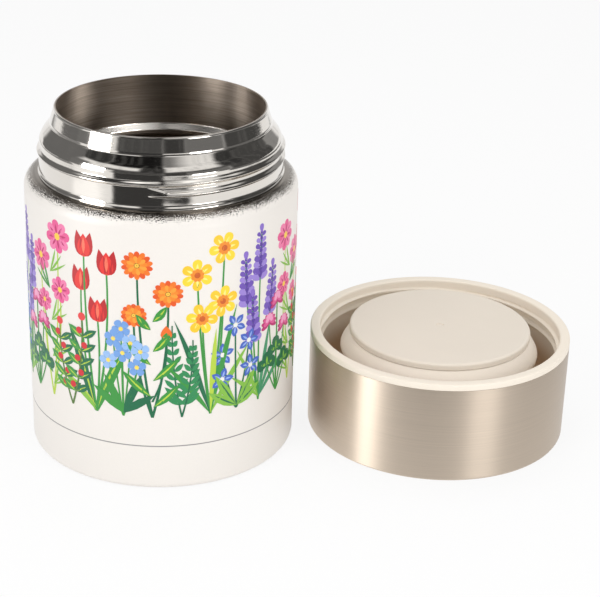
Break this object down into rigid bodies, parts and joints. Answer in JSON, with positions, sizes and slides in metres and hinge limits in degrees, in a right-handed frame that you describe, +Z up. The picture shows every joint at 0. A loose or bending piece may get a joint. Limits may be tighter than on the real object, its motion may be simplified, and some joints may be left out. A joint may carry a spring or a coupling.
{
  "type": "insulated food jar",
  "caption": "Wide double-walled steel food jar with a rolled neck, standing open; its deep screw lid with an insulated stopper lies crown down beside it.",
  "frame": {"origin": "centre of the jar's foot, on the surface it stands on", "axes": "+Z up along the jar's axis, +X towards the lid that lies beside the jar, +Y away from the camera"},
  "size_m": [0.1867, 0.0904, 0.1172],
  "materials": {
    "coated_steel": "satin powder coat in warm white with a printed floral band; bare brushed steel on the shoulder",
    "polished_steel": "mirror-polished stainless steel",
    "liner_steel": "brushed stainless steel with a polished seat",
    "brushed_steel": "brushed stainless steel",
    "lid_steel": "stainless steel brushed around the lid",
    "foil": "bright foil",
    "seal_glass": "fused glass solder, glossy",
    "getter_metal": "sintered metal, dull",
    "cream_plastic": "satin cream polypropylene",
    "cream_silicone": "soft matt silicone",
    "foam": "rigid insulating foam, fine closed cells"
  },
  "bodies": {
    "jar": {"outer_shell": "coated_steel", "neck_ring": "polished_steel", "inner_vessel": "liner_steel", "inner_bottom": "liner_steel", "heat_foil": "foil", "outer_bottom": "brushed_steel", "port_seal": "seal_glass", "base_cover": "brushed_steel", "getter_clip": "brushed_steel", "getter": "getter_metal"},
    "seal": {"stopper_seal": "cream_silicone"},
    "lid": {"lid_cover": "lid_steel", "lid_liner": "cream_plastic", "stopper_cup": "cream_plastic", "lid_foam": "foam"}
  },
  "joints": [
    {"name": "lid_lift", "type": "slide", "parent": "jar", "child": "seal", "axis": [0, 0, 1], "range_m": [0, 0.13]},
    {"name": "lid_turn", "type": "hinge", "parent": "seal", "child": "lid", "pos_m": [0.0965, 0, 0], "axis": [0, 0, 1], "range_deg": [0, 684]}
  ]
}
